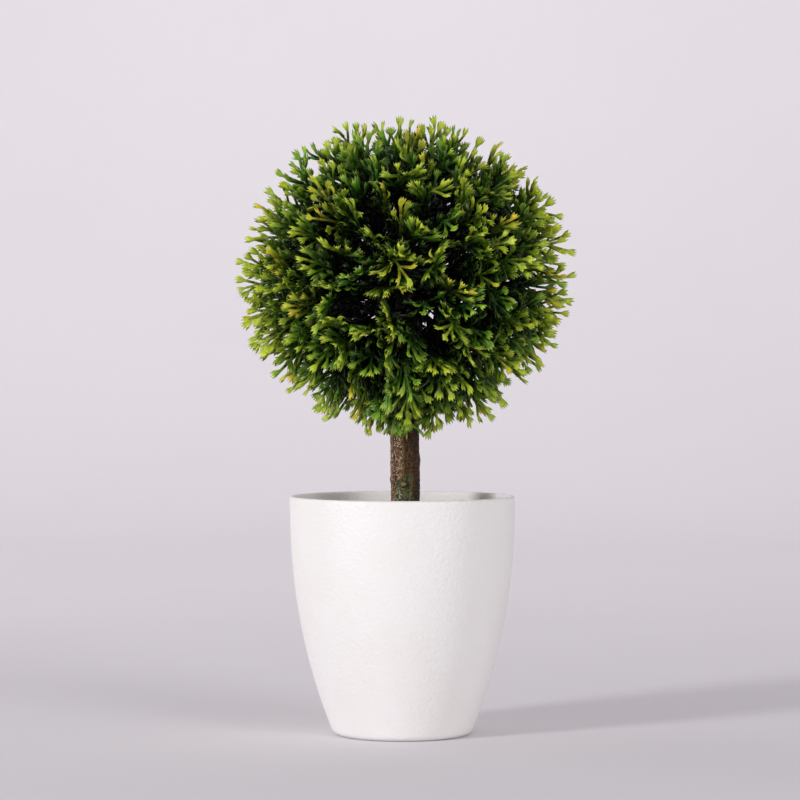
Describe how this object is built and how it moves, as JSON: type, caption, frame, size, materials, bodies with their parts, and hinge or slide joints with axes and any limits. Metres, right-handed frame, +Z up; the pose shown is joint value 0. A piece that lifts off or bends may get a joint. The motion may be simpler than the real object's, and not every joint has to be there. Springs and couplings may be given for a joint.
{
  "type": "artificial tabletop tree",
  "caption": "Small artificial tree: a round ball of moulded leaf sprigs on a bark-covered wood trunk, planted in a plain white tapered pot.",
  "frame": {"origin": "centre of the pot's foot, on the surface that it stands on", "axes": "+Z up along the pot's axis; +X to the viewer's right and +Y away from the viewer, seen from the front"},
  "size_m": [0.1235, 0.123, 0.2323],
  "materials": {
    "pot_white": "matte",
    "cement": "matte",
    "foam": "matte",
    "moss": "matte",
    "glue": "satin",
    "bark": "satin",
    "core_brown": "matte",
    "sprig_green": "satin"
  },
  "bodies": {
    "pot": {"pot": "pot_white", "ballast": "cement"},
    "tree": {"foam_plug": "foam", "moss_mat": "moss", "glue_bead": "glue", "trunk": "bark", "core_ball": "core_brown", "sprig_01": "sprig_green", "sprig_02": "sprig_green", "sprig_03": "sprig_green", "sprig_04": "sprig_green", "sprig_05": "sprig_green", "sprig_06": "sprig_green", "sprig_07": "sprig_green", "sprig_08": "sprig_green", "sprig_09": "sprig_green", "sprig_10": "sprig_green", "sprig_11": "sprig_green", "sprig_12": "sprig_green", "sprig_13": "sprig_green", "sprig_14": "sprig_green", "sprig_15": "sprig_green", "sprig_16": "sprig_green", "sprig_17": "sprig_green", "sprig_18": "sprig_green", "sprig_19": "sprig_green", "sprig_20": "sprig_green", "sprig_21": "sprig_green", "sprig_22": "sprig_green", "sprig_23": "sprig_green", "sprig_24": "sprig_green", "sprig_25": "sprig_green", "sprig_26": "sprig_green", "sprig_27": "sprig_green", "sprig_28": "sprig_green", "sprig_29": "sprig_green", "sprig_30": "sprig_green", "sprig_31": "sprig_green", "sprig_32": "sprig_green", "sprig_33": "sprig_green", "sprig_34": "sprig_green", "sprig_35": "sprig_green", "sprig_36": "sprig_green"}
  },
  "joints": [
    {"name": "tree_lift", "type": "slide", "parent": "pot", "child": "tree", "axis": [0, 0, 1], "range_m": [0, 0.075]}
  ]
}
